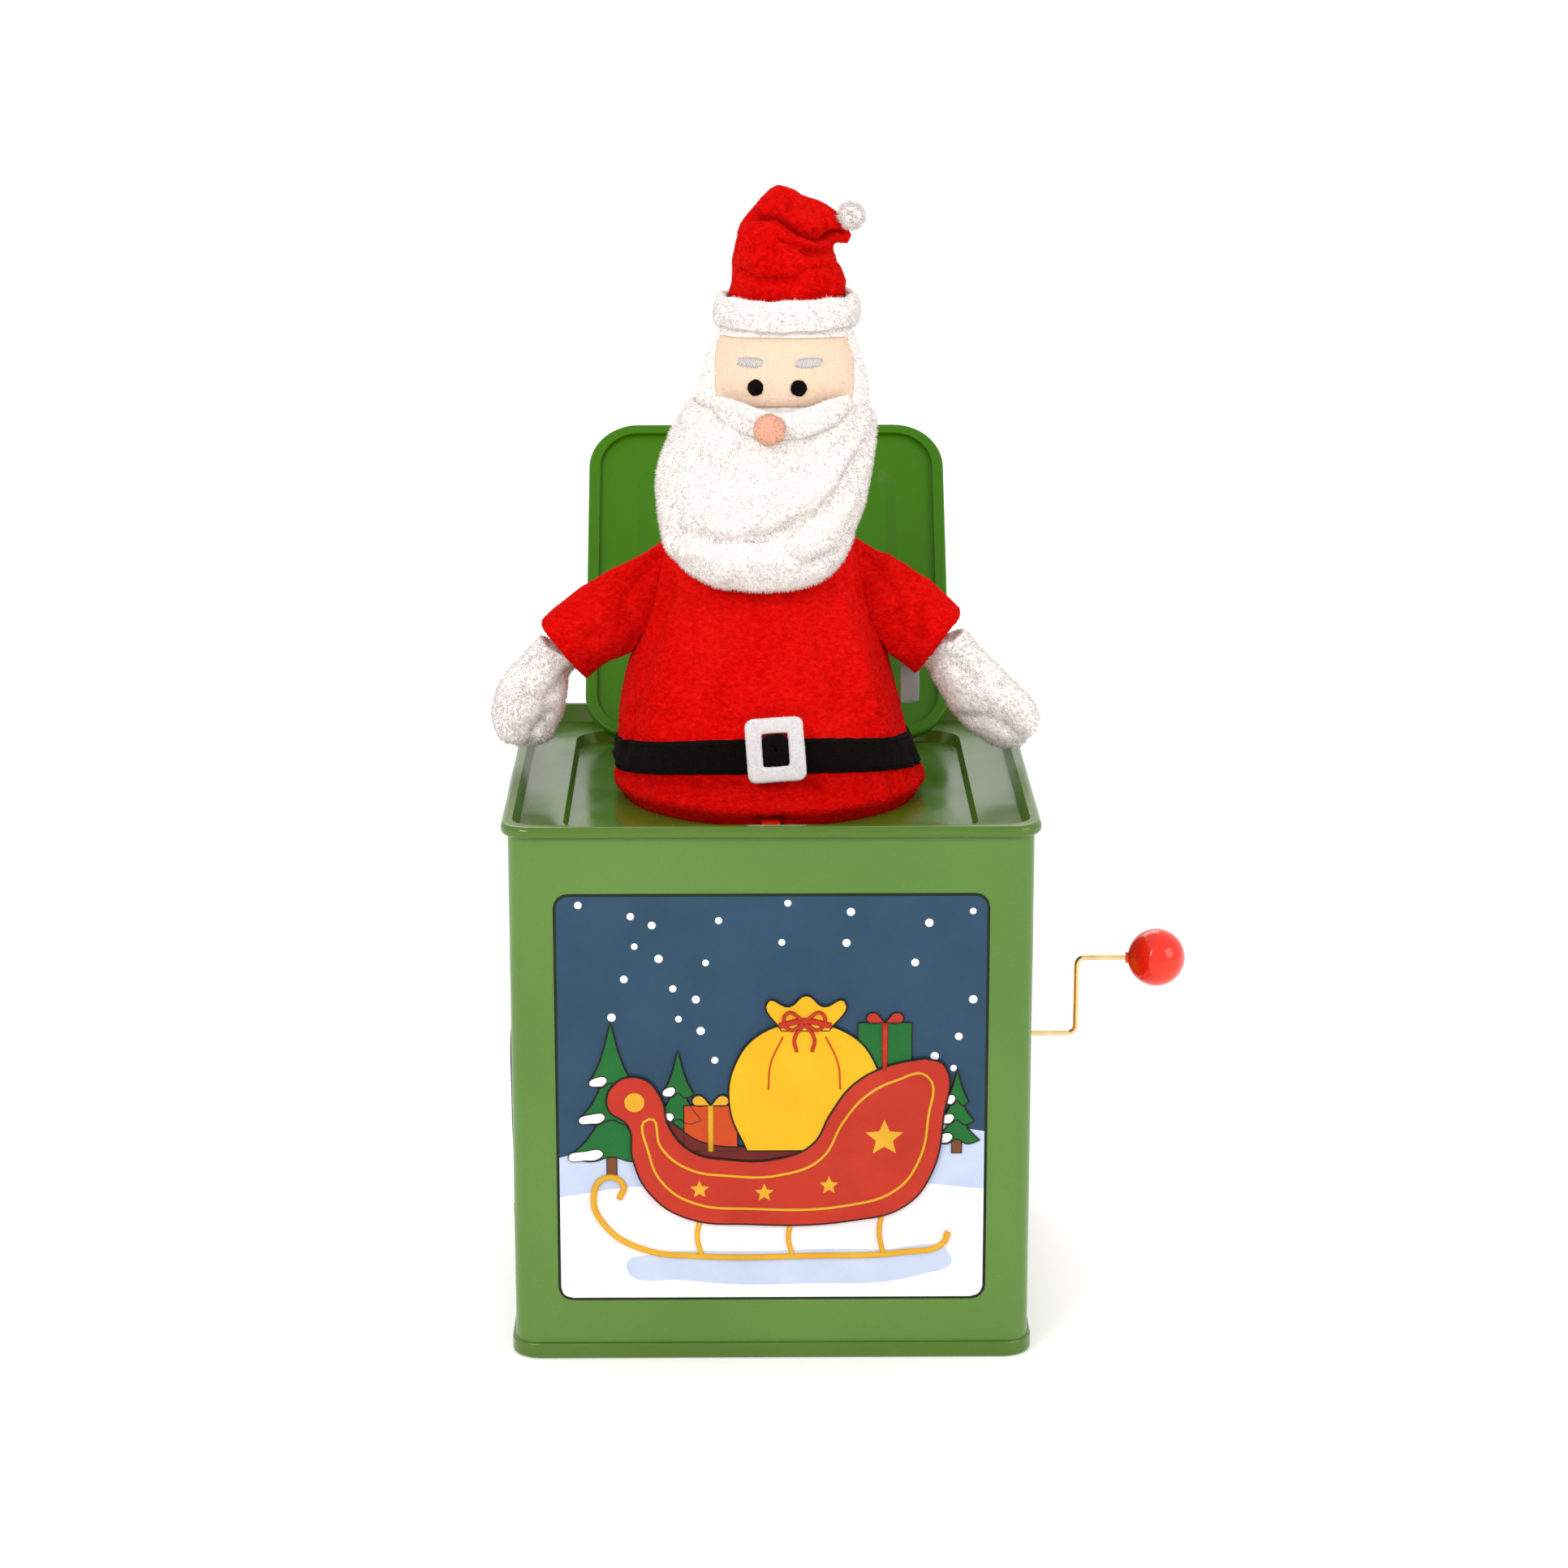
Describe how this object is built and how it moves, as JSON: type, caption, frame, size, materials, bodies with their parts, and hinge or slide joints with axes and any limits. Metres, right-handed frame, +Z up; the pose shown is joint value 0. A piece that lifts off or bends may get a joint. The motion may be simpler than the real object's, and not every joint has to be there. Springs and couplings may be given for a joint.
{
  "type": "jack in the box",
  "caption": "Square tin with a side crank and a music movement that releases a sprung plush figure in a belted coat and bobble hat through a hinged lid.",
  "frame": {"origin": "bottom centre of the tin, on the surface it stands on", "axes": "+Z up, picture panel faces -Y, crank on the +X side"},
  "size_m": [0.1916, 0.1899, 0.3025],
  "materials": {
    "green_tin": "gloss",
    "dark_green_tin": "gloss",
    "lid_green": "gloss",
    "steel": "satin",
    "brass_wire": "polished",
    "red_ball": "gloss",
    "brass_gear": "satin",
    "red_plastic": "satin",
    "white_plastic": "satin",
    "red_plush": "plush",
    "white_plush": "plush",
    "peach_felt": "short pile",
    "pink_felt": "felt",
    "black_felt": "felt",
    "white_felt": "felt",
    "white_satin": "satin stitch",
    "label_cloth": "woven tape"
  },
  "bodies": {
    "case": {"tin_body": "green_tin", "top_plate": "dark_green_tin", "bottom_plate": "dark_green_tin", "hinge_leaf": "dark_green_tin", "hinge_pin": "steel", "crank_bushing": "brass_gear", "movement_inner_plate": "steel", "movement_outer_plate": "steel", "spacer_posts": "steel", "wall_spacers": "white_plastic", "post_nuts": "steel", "comb_base": "steel", "comb": "steel", "comb_screws": "steel", "latch_bracket": "steel", "latch_spring": "steel", "spring_base": "steel", "spring": "steel", "hem_ring": "white_plastic", "coat": "red_plush", "belt": "black_felt", "buckle": "white_felt", "buckle_tongue": "black_felt", "care_label": "label_cloth"},
    "lid": {"lid_shell": "lid_green", "lid_catch": "steel", "lid_rivets": "steel"},
    "crank": {"crank_wire": "brass_wire", "crank_knob": "red_ball", "crank_pinion": "brass_gear"},
    "drum": {"drum_shaft": "steel", "drum": "brass_gear", "drum_pins": "steel", "drum_gear": "white_plastic", "drum_cam": "white_plastic"},
    "latch": {"latch_finger": "red_plastic", "latch_shaft": "steel", "follower_arm": "red_plastic"},
    "puppet": {"neck_disc": "white_plastic", "head": "white_plush", "face": "peach_felt", "beard": "white_plush", "moustache": "white_plush", "nose": "pink_felt", "eyes": "black_felt", "eyebrows": "white_satin", "hat_brim": "white_plush", "hat": "red_plush", "pompom": "white_plush"},
    "left_arm": {"left_sleeve": "red_plush", "left_mitten": "white_plush"},
    "right_arm": {"right_sleeve": "red_plush", "right_mitten": "white_plush"}
  },
  "joints": [
    {"name": "crank_turn", "type": "hinge", "parent": "case", "child": "crank", "pos_m": [0.06, 0, 0.0677], "axis": [1, 0, 0], "continuous": true},
    {"name": "drum_turn", "type": "hinge", "parent": "case", "child": "drum", "pos_m": [0.05, -0.01358, 0.08128], "axis": [1, 0, 0], "continuous": true},
    {"name": "latch_tilt", "type": "hinge", "parent": "case", "child": "latch", "pos_m": [0, -0.043, 0.12], "axis": [-1, 0, 0], "range_deg": [0, 8], "stiffness_Nm_per_rad": 0.02, "springref_deg": -5.73, "deforming": ["latch_spring"]},
    {"name": "puppet_rise", "type": "slide", "parent": "case", "child": "puppet", "axis": [0, 0, 1], "range_m": [-0.17, 0], "stiffness_N_per_m": 25, "springref_m": 0.09, "deforming": ["spring", "coat", "belt", "buckle", "buckle_tongue", "care_label", "hat", "pompom", "left_sleeve", "right_sleeve", "left_mitten", "right_mitten"]},
    {"name": "lid_swing", "type": "hinge", "parent": "case", "child": "lid", "pos_m": [0, 0.0519, 0.1405], "axis": [1, 0, 0], "range_deg": [0, 131]},
    {"name": "left_arm_fold", "type": "hinge", "parent": "puppet", "child": "left_arm", "pos_m": [-0.027, 0, 0.203], "axis": [0, 1, 0], "range_deg": [0, 137]},
    {"name": "right_arm_fold", "type": "hinge", "parent": "puppet", "child": "right_arm", "pos_m": [0.027, 0, 0.203], "axis": [0, -1, 0], "range_deg": [0, 137]}
  ],
  "couplings": [
    {"joint": "drum_turn", "follows": "crank_turn", "ratio": -0.33333},
    {"joint": "lid_swing", "follows": "puppet_rise", "rad_per_m": -13.449},
    {"joint": "left_arm_fold", "follows": "puppet_rise", "rad_per_m": -14.065},
    {"joint": "right_arm_fold", "follows": "puppet_rise", "rad_per_m": -14.065}
  ]
}
